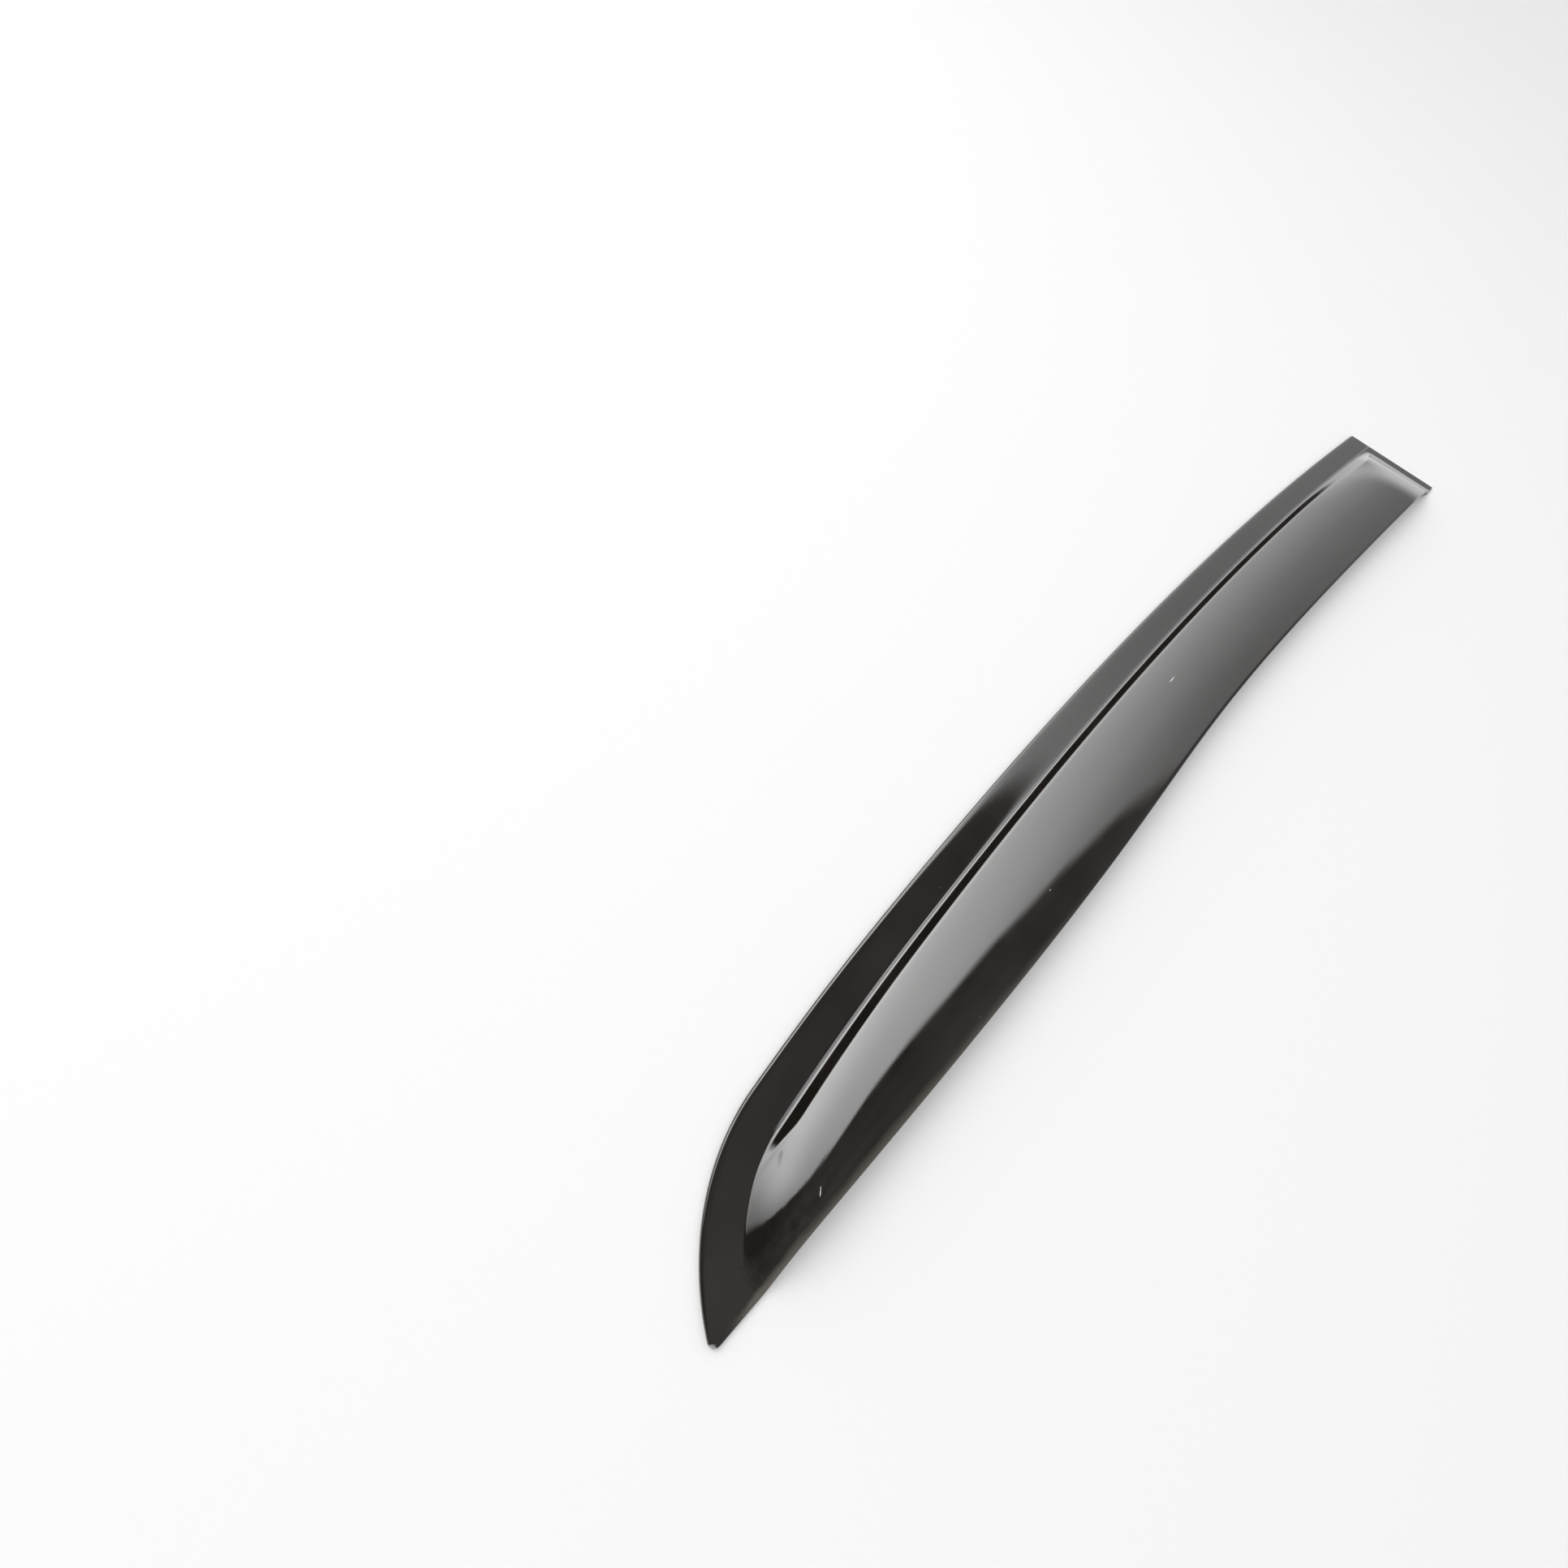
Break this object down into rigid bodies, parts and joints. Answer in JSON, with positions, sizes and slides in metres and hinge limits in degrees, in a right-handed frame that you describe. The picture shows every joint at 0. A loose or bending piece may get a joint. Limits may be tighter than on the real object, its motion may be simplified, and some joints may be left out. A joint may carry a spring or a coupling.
{
  "type": "window rain deflector",
  "caption": "Stick-on rain deflector for the window of a rear door: a bowed strip of smoked acrylic with a flat fixing flange and a raised visor.",
  "frame": {"origin": "middle of the outline's box, on the flange's flat back, which goes against the window frame", "axes": "+X from the rear tip to the cut front end, +Y up the window towards the flange's bowed edge, +Z out of the car, away from the glass"},
  "size_m": [0.7889, 0.1232, 0.0155],
  "materials": {
    "smoked_acrylic": "smoked, nearly opaque acrylic with a polished face"
  },
  "bodies": {
    "root": {"visor_shell": "smoked_acrylic"}
  },
  "joints": []
}
